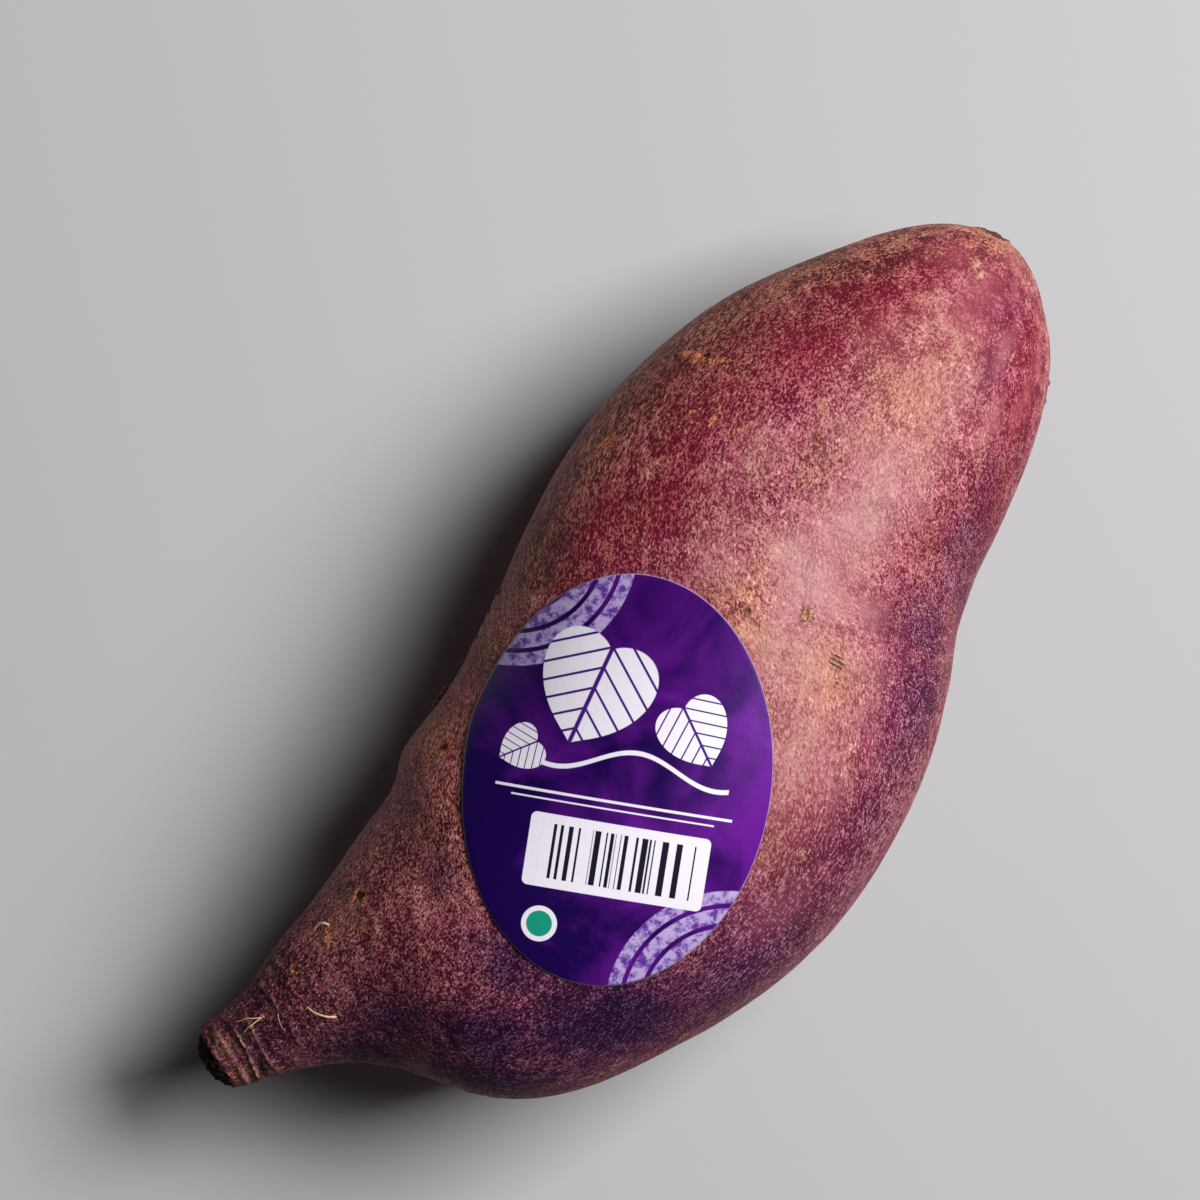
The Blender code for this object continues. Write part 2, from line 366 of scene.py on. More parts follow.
# Patches of the skin's colours, in millimetres and degrees: distance from the broken end, angle,
# reach along and round the root, and strength
RUSSET_PATCHES = (
    (134.5, 22, 5, 6, 0.9),
    (126, 15, 9, 9.5, 1),
    (112, 18, 9, 9.5, 0.9),
    (98.5, 20, 8, 9, 0.8),
    (85, 20, 9, 8.5, 0.7),
    (68, 18, 10, 8, 0.6),
    (48, 24, 12, 7, 0.6),
    (42, 48, 7, 6, 0.8),
    (30, 38, 9, 6, 0.7),
    (15, 50, 7, 4.5, 0.6),
    (88, 86, 6, 3, 0.7),
    (121, 92, 6, 4, 0.35),
    (84, 114, 4, 3.5, 0.6),
    (141.5, 75, 2.5, 5, 0.8),
    (70, 260, 12, 8, 0.6),
    (108, 300, 9, 7, 0.6),
    (94, 222, 8, 6, 0.5),
    (40, 282, 9, 8, 0.5),
)
CRIMSON_PATCHES = (
    (136, 58, 5, 4.5, 0.9),
    (136, 104, 5.5, 5, 1),
    (131, 114, 4, 3, 0.6),
    (94, 124, 4, 3.5, 0.5),
    (112.5, 36, 6, 5, 0.9),
    (124, 45, 6, 4.5, 0.9),
    (104.5, 44, 5, 4, 0.8),
    (105.5, 31, 5, 4, 0.7),
    (91.5, 38, 7, 4.5, 1),
    (127, 55, 8, 5.5, 1),
    (116, 55, 8, 5.5, 1),
    (104, 50, 8, 4.5, 0.9),
    (95, 53, 6, 4.5, 0.8),
    (88, 53, 4, 3, 0.7),
    (133, 131, 6, 5, 1),
    (128, 140, 7, 4.5, 0.9),
    (120, 146, 7, 4.5, 0.7),
    (110, 128, 7, 3.5, 0.5),
    (101, 240, 10, 8, 0.7),
    (58, 310, 10, 8, 0.6),
    (124, 200, 8, 7, 0.7),
)
# Plum skin: partly the skin's own colour, and partly painted shade and painted blue reflected light
# on the -Y flank, the neck and the tail
PLUM_AND_SHADE_PATCHES = (
    (136, 105, 5, 5, 0.45),
    (130, 115, 5, 3.5, 0.45),
    (122, 127, 6, 3.5, 0.15),
    (119, 137, 5, 3, 0.4),
    (89, 136, 4.5, 3.5, 0.5),
    (112, 142, 6, 4.5, 0.7),
    (108, 150, 8, 6, 0.6),
    (96, 142, 8, 7, 0.9),
    (84, 146, 9, 8, 0.9),
    (71, 144, 9, 9, 0.65),
    (94, 127, 5, 4, 0.5),
    (58, 142, 10, 11, 1),
    (44, 132, 10, 12, 1),
    (33, 121, 8, 7.5, 1),
    (23.5, 112, 8, 5.5, 0.9),
    (18, 138, 9, 6.5, 1),
    (31, 143, 10, 8, 1),
    (40, 126, 8, 9, 1),
    (38.5, 97, 5, 6, 0.9),
    (36.5, 60, 3.5, 3.5, 0.6),
    (8, 90, 6, 7, 0.8),
    (46, 210, 12, 10, 0.7),
    (84, 300, 10, 8, 0.5),
    (12, 250, 8, 8, 0.6),
)
# Pale dusted skin, which along the lit band of the upper side is partly a painted highlight
DUST_AND_HIGHLIGHT_PATCHES = (
    (136, 90, 4, 3.5, 0.7),
    (130, 90, 6, 4.5, 0.75),
    (123.7, 71, 5, 3.5, 0.5),
    (122, 96, 8, 6.5, 0.85),
    (113, 101, 8, 6.5, 0.85),
    (104, 102, 8, 6.5, 0.85),
    (103, 71, 4.5, 3, 0.4),
    (93, 104, 9, 7.5, 0.8),
    (84, 107, 9, 8, 0.9),
    (75.5, 114, 8, 6.5, 1),
    (67, 119, 6, 4.5, 0.45),
    (62.5, 134, 4, 3.5, 0.5),
    (92, 78, 6, 5, 0.6),
    (96.5, 93, 5, 4, 0.8),
    (96, 111, 5, 4, 0.5),
    (84.5, 94, 6, 4.5, 1),
    (137.2, 63, 2.5, 2.5, 0.6),
    (138.5, 113, 2.5, 1, 0.7),
    (131, 116, 3, 1.1, 0.8),
    (128.5, 139, 4, 1, 0.7),
    (125, 124, 3.5, 1.3, 0.7),
    (134.5, 119, 2.5, 0.9, 0.6),
    (133, 143, 4, 0.8, 0.6),
    (141, 112, 1.8, 3, 0.8),
    (60, 230, 10, 7, 0.5),
    (104, 262, 9, 6, 0.6),
)
# Rosier skin; where these overlap the dusted patches they also place the painted highlight
PINK_AND_HIGHLIGHT_PATCHES = (
    (106, 106, 8, 6, 0.8),
    (96, 98, 7, 6, 1),
    (91, 122, 6, 4, 0.8),
    (83, 105, 6, 6, 0.25),
    (110, 76, 8, 5, 0.5),
    (127, 112, 7, 4, 0.3),
    (88, 250, 10, 7, 0.6),
)
PALE_SPOTS = (
    (137.8, 79, 0.7, 0.6, 0.9),
    (137.1, 85, 0.7, 0.6, 1),
    (131.6, 122, 1, 0.5, 0.7),
    (82.3, 123, 0.8, 0.9, 0.5),
    (85.1, 126, 0.8, 0.7, 0.5),
    (137.6, 31, 0.5, 0.5, 0.8),
)

# Their edges are uneven by a share, in lumps, between limits
PATCH_RAGGED = 0.8
PATCH_LUMPS = 4.0 * MM
PATCH_LIMITS = (0.3, 2.0)

# Fine fibres run along the root and turn round it by this much for each millimetre
GRAIN_TURN = -0.015

# Small dark warts, some of them on the outline, in millimetres and degrees: distance from the
# broken end, angle, radius and height
WARTS = (
    (50.2, -4, 0.4, 0.5),
    (51.2, -5, 0.3, 0.55),
    (51.9, -3, 0.3, 0.5),
    (52.9, -4, 0.4, 0.6),
    (67.5, 2, 0.35, 0.3),
    (74.7, 1, 0.3, 0.25),
    (79.1, 2, 0.4, 0.35),
    (132.1, 176, 0.35, 0.3),
    (130.3, 177, 0.35, 0.25),
    (111.8, 341, 0.4, 0.3),
    (87, 196, 0.4, 0.3),
    (88.6, 199, 0.35, 0.25),
    (43, 318, 0.45, 0.35),
)
WART_SPOKES = 12
WART_RINGS = 4
# Their feet are sunk by a share of the height, and they are a little oval and cornered
WART_FOOT = 0.35
WART_OVAL = 0.18
WART_CORNERS = 0.10

# Dried rootlets: the radius at the root in millimetres, then places on the path to the tip as
# distance from the broken end, angle and height over the skin
ROOTLETS = (
    (0.08, ((9.1, 66.5, -0.3), (8.1, 61.7, 0.3), (7.1, 56.8, 0.45), (6, 52, 0.5))),
    (0.08, ((9.1, 66, -0.3), (8.2, 67.7, 0.3), (7.3, 69.3, 0.45), (6.4, 71, 0.5))),
    (0.18, ((17.1, 102, -0.4), (16.4, 99, 0.35), (15.3, 92, 0.5), (14.8, 85, 0.4))),
    (0.04, ((11, 75, -0.1), (10.9, 81, 0.15), (10.8, 88, 0.25), (10.8, 94, 0.1))),
    (0.18, ((21, 46, -0.4), (20.7, 42.6, 0.4), (20.1, 40.6, 0.5), (19.4, 40.2, 0.4))),
    (0.12, ((14, 250, -0.3), (15, 247, 0.5), (16.5, 243, 0.8), (18, 238, 0.6))),
    (0.1, ((9.5, 300, -0.3), (9, 296, 0.5), (8, 290, 0.7), (7, 284, 0.4))),
)
ROOTLET_RINGS = 16
ROOTLET_SPOKES = 8
ROOTLET_TAPER = 0.65

# Steps along and round the root that its slope is measured over
PROBE_STEP = 0.2 * MM
PROBE_TURN = 0.02


def lumps(points, size, octaves):
    """Even random heights, about -1 to 1, at the points, in lumps of the given size."""
    flat = (points / size).reshape(-1, 3)
    values = [noise.fractal(Vector(place), 1.0, 2.0, octaves) for place in flat]
    return np.array(values).reshape(points.shape[:-1])


class Skin:
    """The root's skin as a grid of rings and spokes, with its relief and its colour masks."""

    def __init__(self, line):
        self.line = line
        self.s, self.angle = np.meshgrid(self.ring_places(), circle(SPOKES), indexing="ij")
        self.plain = skin_points(line, self.s, self.angle)
        lowest = self.plain[..., 2].min() + FLAT_DEPTH
        self.plain[..., 2] = np.maximum(self.plain[..., 2], lowest)
        low, high = self.plain.min(axis=(0, 1)), self.plain.max(axis=(0, 1))
        self.origin = np.array([(low[0] + high[0]) / 2.0, (low[1] + high[1]) / 2.0, low[2]])
        self.plain = self.plain - self.origin
        self.radius = line.half_width(self.s)
        self.straight = self.straightened(self.angle)
        edge = (END_REACH + END_LEAN * np.sin(self.angle - END_SIDE)) * MM
        self.broken = 1.0 - smooth_step(*END_BLEND, self.s / edge)
        self.crest = np.zeros(self.s.shape)
        self.groove_shade = np.zeros(self.s.shape)
        self.spot = np.zeros(self.s.shape + (3,))
        self.scar = np.zeros(self.s.shape + (3,))
        self.scar[..., 2] = self.stem_nearness()
        self.out = self.fine_relief()

    def ring_places(self):
        """Distances of the rings, even over the skin and closer together on the ringed tail."""
        s = self.line.length * (0.5 - 0.5 * np.cos(np.linspace(0.0, math.pi, PROFILE_STEPS)))
        run = np.hypot(np.diff(s), np.diff(self.line.half_width(s)))
        blend = (RINGED_TAIL, RINGED_TAIL + SPACING_BLEND)
        spacing = np.interp(s[1:], blend, (TAIL_STEP, BODY_STEP))
        count = np.concatenate([[0.0], np.cumsum(run / spacing)])
        return np.interp(np.arange(0.5, count[-1] - 0.25), count, s)

    def straightened(self, angle):
        """The places of the skin's points on a root without bends."""
        across = self.radius * np.cos(angle)
        up = self.radius * np.sin(angle)
        return np.stack([self.s, across, up], axis=-1)

    def stem_nearness(self):
        """1 at the stem scar's middle, 0.5 at its edge and 0 past the tan skin round it."""
        beside = self.straight[..., 1] - STEM_PLACE[0]
        above = self.straight[..., 2] - STEM_PLACE[1]
        near = np.clip(1.0 - np.hypot(beside, above) / (2.0 * STEM_REACH), 0.0, 1.0)
        return near * (self.s > 0.5 * self.line.length)

    def local(self, place, degrees):
        """Distances along and round the root from a place given in millimetres and degrees."""
        return self.s - place * MM, arc_round(self.line, self.angle, place * MM, degrees)

    def masks(self, *tables):
        """Soft masks of patches with uneven edges, one mask for each table."""
        uneven = 1.0 + PATCH_RAGGED * lumps(self.straight, PATCH_LUMPS, 4)
        uneven = np.clip(uneven, *PATCH_LIMITS)
        made = np.zeros(self.s.shape + (len(tables),))
        for number, table in enumerate(tables):
            for place, degrees, reach_along, reach_round, strength in table:
                along, round_it = self.local(place, degrees)
                far = (along / (reach_along * MM)) ** 2 + (round_it / (reach_round * MM)) ** 2
                patch = strength * np.exp(-far * uneven)
                made[..., number] = np.maximum(made[..., number], patch)
        return made

    def scars(self):
        """The relief of the root scars, each a broken raised rim round a pit.

        For the material it also keeps where each point lies in the scar that it is nearest to.
        """
        out = np.zeros(self.s.shape)
        nearest = np.full(self.s.shape, np.inf)
        ragged = lumps(self.straight, SCAR_LUMPS, 2)
        whole = np.clip(0.4 + 1.6 * ragged, 0.0, 1.2)
        for place, degrees, length, width, turn, rim, pit, tan, dark in ROOT_SCARS:
            along, round_it = self.local(place, degrees)
            c, n = math.cos(math.radians(turn)), math.sin(math.radians(turn))
            u = (along * c + round_it * n) / (length * MM)
            v = (round_it * c - along * n) / (width * MM)
            far = np.hypot(u, v)
            near = 1.0 - smooth_step(*SCAR_FADE, far)
            mine = far < nearest
            self.spot[mine] = np.stack([u, v, near], axis=-1)[mine]
            self.scar[mine, :2] = tan, dark
            nearest = np.minimum(nearest, far)
            far = far * (1.0 + SCAR_RAGGED * ragged)
            ring = bell((far - RIM_RADIUS) / RIM_REACH) * whole
            out = out + rim * MM * ring - pit * MM * bell(far / PIT_REACH)
        return out

    def crests(self):
        """Thin crests that wander on the tail's rings, broken here and there."""
        out = np.zeros(self.s.shape)
        whole = np.clip(0.60 + 0.9 * lumps(self.straight, CREST_GAPS, 2), 0.0, 1.0)
        whole = whole * smooth_step(*CREST_FADE, np.cos(self.angle - CREST_SIDE))
        waver = CREST_WAVER * lumps(self.straight, WAVER_SIZE, 2)
        for place, height, reach in CRESTS:
            along = self.s - place * MM - CREST_STRAY * np.sin(2.0 * self.angle + place) - waver
            share = height / FULL_CREST
            line = whole * bell(along / (reach * MM))
            worn = whole * bell((along + WORN_BEFORE) / WORN_REACH)
            groove = whole * share * np.exp(-(((along - GROOVE_BEHIND) / GROOVE_REACH) ** 4))
            self.crest = np.maximum(self.crest, np.maximum(line, WORN_SHARE * worn) * share)
            # The grooves also mask the painted shadow behind each crest
            self.groove_shade = np.maximum(self.groove_shade, groove)
            out = out + height * MM * line - GROOVE_DEPTH * groove
        return out

    def fine_relief(self):
        """How far the fine skin stands out from the plain one."""
        rough = STEM_RISE + STEM_ROUGHNESS * lumps(self.straight, STEM_LUMPS, 3)
        out = rough * smooth_step(*STEM_EDGE, self.scar[..., 2]) + self.scars() + self.crests()
        for height, size, octaves, squeeze, ends in RELIEF_LAYERS:
            layer = height * MM * lumps(self.straight * (1.0, squeeze, squeeze), size * MM, octaves)
            if ends:
                layer = layer * (1.0 - smooth_step(*ends, self.s / MM))
            out = out + layer
        return out * smooth_step(*FLOOR_FADE, self.plain[..., 2])

    def normals(self):
        along = np.gradient(self.plain, axis=0)
        around = np.roll(self.plain, -1, axis=1) - np.roll(self.plain, 1, axis=1)
        return unit(np.cross(around, along))

    def points(self):
        return self.plain + self.normals() * self.out[..., None]

    def tips(self):
        """The single points that close the tail's broken end and the crown."""
        ends = skin_points(self.line, np.array([0.0, self.line.length]), np.zeros(2))
        return ends - self.origin

    def grain(self):
        """Coordinates in millimetres that follow the fibres, along the root and across it."""
        return self.straightened(self.angle - GRAIN_TURN * self.s / MM) / MM


def circle(spokes):
    """The angles of evenly spread spokes."""
    return np.arange(spokes) * (2.0 * math.pi / spokes)


def unit(directions):
    return directions / np.linalg.norm(directions, axis=-1, keepdims=True)


def grid_faces(rings, spokes):
    """Faces of a closed tube of rings, with one point after the grid to close each end."""
    faces = []
    last = (rings - 1) * spokes
    tail_tip = rings * spokes
    for k in range(spokes):
        after = (k + 1) % spokes
        faces.append((tail_tip, after, k))
        faces.append((tail_tip + 1, last + k, last + after))
        for ring in range(0, last, spokes):
            faces.append((ring + k, ring + after, ring + spokes + after, ring + spokes + k))
    return faces


def new_piece(name, tubes, material):
    """A smooth mesh object of closed tubes, each given as its rings of points and its two tips."""
    points, faces = [], []
    for rings, tips in tubes:
        first = len(points)
        points.extend(with_tips(rings, tips).tolist())
        for face in grid_faces(*rings.shape[:2]):
            faces.append(tuple(first + corner for corner in face))
    mesh = bpy.data.meshes.new(name)
    mesh.from_pydata(points, [], faces)
    mesh.validate()
    mesh.shade_smooth()
    mesh.materials.append(material)
    made = bpy.data.objects.new(name, mesh)
    bpy.context.scene.collection.objects.link(made)
    return made


def with_tips(rings, tips):
    return np.concatenate([rings.reshape(-1, 3), tips])


def store(mesh, name, rings, tips):
    """Keeps three numbers for each point of the mesh, for its material to read."""
    kept = mesh.attributes.new(name, "FLOAT_VECTOR", "POINT")
    values = np.ascontiguousarray(with_tips(rings, tips), np.float32)
    kept.data.foreach_set("vector", values.ravel())


def make_root(skin):
    made = new_piece("root_skin", [(skin.points(), skin.tips())], skin_material())
    kept = {
        "grain": skin.grain(),
        "tint": skin.masks(RUSSET_PATCHES, CRIMSON_PATCHES, PLUM_AND_SHADE_PATCHES),
        "dust": skin.masks(DUST_AND_HIGHLIGHT_PATCHES, PINK_AND_HIGHLIGHT_PATCHES, PALE_SPOTS),
        "spot": skin.spot,
        "scar": skin.scar,
        "band": np.stack([skin.crest, skin.groove_shade, skin.broken], axis=-1),
    }
    for name, values in kept.items():
        store(made.data, name, values, values[[0, -1], 0])
    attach(made, "root")
    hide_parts("sweet_potato")


def skin_place(skin, s, angle, lift):
    """Points that stand off the skin by lift, at distances s along the root and angles."""
    here = skin_points(skin.line, s, angle)
    along = skin_points(skin.line, s + PROBE_STEP, angle) - here
    around = skin_points(skin.line, s, angle + PROBE_TURN) - here
    square = unit(np.cross(around, along))
    return here - skin.origin + square * np.asarray(lift)[..., None]


def rings_round(middles, beside, above, turn, radii):
    """Rings of points round the middles, at angles that turn from beside to above."""
    spread = beside[:, None] * np.cos(turn)[:, None] + above[:, None] * np.sin(turn)[:, None]
    return middles[:, None] + spread * radii[..., None]


def make_rootlets(skin):
    """Dried hair-like rootlets, tapered tubes with their roots sunk in the skin."""
    tubes = []
    for radius, path in ROOTLETS:
        knots = np.arange(len(path), dtype=float)
        spread = np.linspace(0.0, knots[-1], ROOTLET_RINGS)
        s, degrees, lift = (smooth_curve(knots, values, spread) for values in np.array(path).T)
        middles = skin_place(skin, s * MM, np.radians(degrees), lift * MM)
        ahead = unit(np.gradient(middles, axis=0))
        beside = unit(np.cross(ahead, (0.0, 0.0, 1.0)))
        above = np.cross(ahead, beside)
        radii = radius * MM * (1.0 - ROOTLET_TAPER * spread[:, None] / knots[-1])
        rings = rings_round(middles, beside, above, circle(ROOTLET_SPOKES), radii)
        tubes.append((rings, middles[[0, -1]]))
    made = new_piece("rootlets", tubes, rootlet_material())
    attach(made, "root")


def make_warts(skin):
    """Small dark domes that stand on the skin with their feet sunk in it."""
    tubes = []
    turn = circle(WART_SPOKES)
    rise = np.linspace(-WART_FOOT, 0.5 * math.pi, WART_RINGS + 1)[:-1, None]
    for place, degrees, radius, height in WARTS:
        s, angle = np.array([place * MM]), np.radians([degrees])
        foot = skin_place(skin, s, angle, [0.0])
        up = skin_place(skin, s, angle, [1.0]) - foot
        beside = unit(np.cross(up, (1.0, 0.0, 0.0)))
        uneven = 1.0 + WART_OVAL * np.sin(2.0 * turn + place) + WART_CORNERS * np.sin(3.0 * turn)
        middles = foot + up * height * MM * np.sin(rise)
        radii = radius * MM * np.cos(rise) * uneven
        rings = rings_round(middles, beside, np.cross(up, beside), turn, radii)
        tubes.append((rings, foot + up * height * MM * [[-WART_FOOT], [1.0]]))
    made = new_piece("warts", tubes, wart_material())
    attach(made, "root")


# Materials


class Value:
    """A node's output, which takes part in sums like a number."""

    def __init__(self, socket):
        self.socket = socket
        self.tree = socket.id_data

    def __add__(self, other):
        return calculated("ADD", self, other)

    def __sub__(self, other):
        return calculated("SUBTRACT", self, other)

    def __mul__(self, other):
        return calculated("MULTIPLY", self, other)

    def __abs__(self):
        return calculated("ABSOLUTE", self)


def feed(socket, value):
    """Sets a node's input to a number, a place, a colour or another node's output."""
    if isinstance(value, Value):
        value.tree.links.new(value.socket, socket)
    elif socket.type == "RGBA":
        socket.default_value = (*value, 1.0)
    else:
        socket.default_value = value


def new_node(kind, inputs, **settings):
    """A node with these settings and inputs, in the tree that the inputs come from."""
    tree = next(value.tree for value in inputs.values() if isinstance(value, Value))
    node = tree.nodes.new("ShaderNode" + kind)
    for name, setting in settings.items():
        setattr(node, name, setting)
    for name, value in inputs.items():
        feed(node.inputs[name], value)
    return node


def calculated(operation, first, second=0.0):
    node = new_node("Math", {0: first, 1: second}, operation=operation)
    return Value(node.outputs[0])


def larger(first, second):
    return calculated("MAXIMUM", first, second)


def length(x, y):
    return calculated("SQRT", x * x + y * y)


def between(value, low, high):
    """0 at low and 1 at high, with a smooth rise from the one to the other."""
    inputs = {"Value": value, "From Min": low, "From Max": high}
    return Value(new_node("MapRange", inputs, interpolation_type="SMOOTHSTEP").outputs["Result"])


def within(far, reach, edge):
    """1 nearer than reach and 0 farther, with an edge that is soft over this much each way."""
    return between(far, reach + edge, reach - edge)


def blend(share, first, second):
    """Goes from the first number to the second one as share goes from 0 to 1."""
    return Value(new_node("Mix", {"Factor": share, "A": first, "B": second}).outputs["Result"])


def mix(share, first, second):
    """The same for two colours."""
    inputs = {"Factor": share, "A": first, "B": second}
    return Value(new_node("Mix", inputs, data_type="RGBA").outputs["Result"])


def layered(base, coats):
    """The base colour under coats that are laid on in turn, each a share and a colour."""
    for share, colour in coats:
        base = mix(share, base, colour)
    return base


def split(place):
    return [Value(output) for output in new_node("SeparateXYZ", {0: place}).outputs]


def scaled(place, along, across, offset=(0.0, 0.0, 0.0)):
    inputs = {"Vector": place, "Scale": (along, across, across), "Location": offset}
    return Value(new_node("Mapping", inputs).outputs["Vector"])


def placed(place, middle, degrees, size):
    """Coordinates in a frame with its own middle, turn and size."""
    inputs = {
        "Vector": place,
        "Location": (*middle, 0.0),
        "Rotation": (0.0, 0.0, math.radians(degrees)),
        "Scale": (size, size, 1.0),
    }
    return Value(new_node("Mapping", inputs, vector_type="TEXTURE").outputs["Vector"])


def cloud(place, scale=1.0, detail=2.0, roughness=0.5, distortion=0.0):
    """Uneven values round 0.5, in lumps about 1 across at scale 1."""
    inputs = {"Vector": place, "Scale": scale, "Detail": detail, "Roughness": roughness}
    node = new_node("TexNoise", {**inputs, "Distortion": distortion})
    return Value(node.outputs["Fac"])


def mosaic(place):
    """A loose mosaic of cells about 1 across: the distance from each one's middle, and a
    random number for each."""
    node = new_node("TexVoronoi", {"Vector": place, "Scale": 1.0})
    return Value(node.outputs["Distance"]), split(Value(node.outputs["Color"]))[0]


def wobbled(place, scale, reach):
    """The place shifted unevenly along each axis, by up to reach."""
    shift = new_node("TexNoise", {"Vector": place, "Scale": scale, "Detail": 1.0})
    inputs = {0: Value(shift.outputs["Color"]), 1: (reach, reach, reach), 2: place}
    return Value(new_node("VectorMath", inputs, operation="MULTIPLY_ADD").outputs[0])


def bump(height, distance):
    inputs = {"Strength": 1.0, "Distance": distance, "Height": height}
    return Value(new_node("Bump", inputs).outputs["Normal"])


class Look:
    """A new material: what its nodes read from the mesh, and its shader."""

    def __init__(self, name):
        self.material = bpy.data.materials.new(name)
        self.material.use_nodes = True
        self.tree = self.material.node_tree

    def attribute(self, name):
        node = self.tree.nodes.new("ShaderNodeAttribute")
        node.attribute_name = name
        return Value(node.outputs["Vector"])

    def finished(self, inputs):
        """The material, with these inputs on its shader."""
        shader = self.tree.nodes["Principled BSDF"]
        for name, value in inputs.items():
            feed(shader.inputs[name], value)
        return self.material


def brushed(grain, along, across):
    """Uneven short strokes, each with its own tone, longest where the scale is least."""
    place = scaled(grain, along, across)
    _, pick = mosaic(wobbled(place, 1.3, 0.9))
    return blend(0.55, cloud(place, 0.9, 1.0), pick * 0.36 + 0.32)


def fibre_weave(grain, combed):
    """Fine strokes along the root over a finer mottle, which shows less where it is combed."""
    strokes = brushed(grain, 2.1, 3.7)
    mottle = brushed(grain, 4.2, 4.2)
    return blend(blend(combed, 0.6, 0.2), strokes, mottle)


def specks(grain, density):
    """Small uneven spots at random places, more and larger ones where density is high."""
    far, pick = mosaic(wobbled(scaled(grain, 3.3, 3.3, (4.0, 7.0, 1.0)), 2.2, 0.8))
    return between(pick * 0.7 + density - far, 0.3, 0.46)


def hair_creases(grain):
    """Short hairlines, 1 on each line."""
    line = cloud(scaled(grain, 1.3, 2.3, (5.0, 1.0, 8.0)))
    here = cloud(scaled(grain, 0.9, 0.9, (2.0, 6.0, 1.0)), detail=1.0)
    return between(abs(line - 0.5), 0.03, 0.006) * between(here, 0.46, 0.56)


class Areas:
    """The skin's areas, each a mask that goes from 0 to 1, and the grain of its fibres."""

    def __init__(self, look):
        self.grain = look.attribute("grain")
        self.russet, self.crimson, self.plum_and_shade = split(look.attribute("tint"))
        self.dusty, self.pink, self.pale = split(look.attribute("dust"))
        self.scar_u, self.scar_v, self.scar_near = split(look.attribute("spot"))
        self.scar_tan, self.scar_dark, self.stem = split(look.attribute("scar"))
        self.crest, self.groove_shade, self.broken = split(look.attribute("band"))
        along = split(self.grain)[0]
        self.tail = between(along, 26.0, 9.0)
        self.neck = between(along, 52.0, 36.0)
        self.crown = between(along, 116.0, 134.0)
        # Painted shade: plum skin on the neck is painted darker and bluer, as shade and blue
        # reflected light
        self.painted_neck_shade = self.plum_and_shade * between(along, 62.0, 46.0)
        # Painted highlight: where dusted and pink patches overlap, the skin gets a pale, smooth
        # painted highlight
        self.painted_highlight = self.dusty * self.pink
        self.soft = larger(self.dusty, self.crown)


def scar_masks(area):
    """How much of each point is tan flakes, the shadow round them and a dark pit."""
    far = length(area.scar_u, area.scar_v)
    crumbs = cloud(scaled(area.grain, 3.2, 3.2, (3.0, 9.0, 4.0)), roughness=0.6)
    gnawed = cloud(scaled(area.grain, 2.6, 2.6, (8.0, 2.0, 6.0)), roughness=0.6)
    curls = between(abs(gnawed - 0.5), 0.09, 0.02)
    inward = between(far, 1.8, 0.3) + crumbs * 1.9 + curls * 0.35
    tan = area.scar_near * area.scar_tan
    flakes = tan * between(inward, 1.62, 1.84)
    shadow = tan * between(inward, 1.36, 1.6)
    deep = between(far, 1.1, 0.0) + gnawed * 2.0
    pit = area.scar_near * larger(area.scar_dark, 0.0) * between(deep, 1.42, 1.68)
    slit = between(calculated("SINE", area.scar_u * 9.0), 0.35, 0.85)
    slit = slit * between(far + gnawed * 0.6, 1.6, 1.3)
    slit = slit * (area.scar_near * larger(area.scar_dark * -1.0, 0.0))
    return flakes, shadow, larger(pit, slit)


def brush_tones(area, weave, middling, crease):
    """How much of each point is a fibre on the skin's ground, and how much a light bit."""
    cover = cloud(area.grain, 0.09, 3.0, 0.55) * 0.9 + middling * 1.1
    cover = cover + blend(area.dusty, 0.03, 0.24) + (middling - 0.5) * (area.crown * 1.2)
    cover = cover - area.crimson * 0.28 - area.russet * 0.08 - area.plum_and_shade * 0.26
    cover = cover - crease * 0.4 - area.tail * 0.05
    depth = blend(area.plum_and_shade, 6.2, 6.7) + area.russet * 1.2
    depth = blend(area.crown * 0.35 + area.dusty, depth, 5.1) - area.painted_highlight
    tone = cover + (weave - 0.5) * depth
    density = (cover - 1.0) * 0.4 + blend(area.plum_and_shade, 0.2, 0.32) - area.neck * 0.06
    strength = blend(area.dusty, blend(area.plum_and_shade, 0.44, 0.64), 0.14) + area.neck * 0.22
    # The light specks are partly the skin's pale flecks and partly painted glints
    speck = specks(area.grain, density) * blend(area.painted_neck_shade, strength, 0.3)
    return between(tone, 0.66, 1.36), larger(between(tone, 1.34, 2.0), speck)


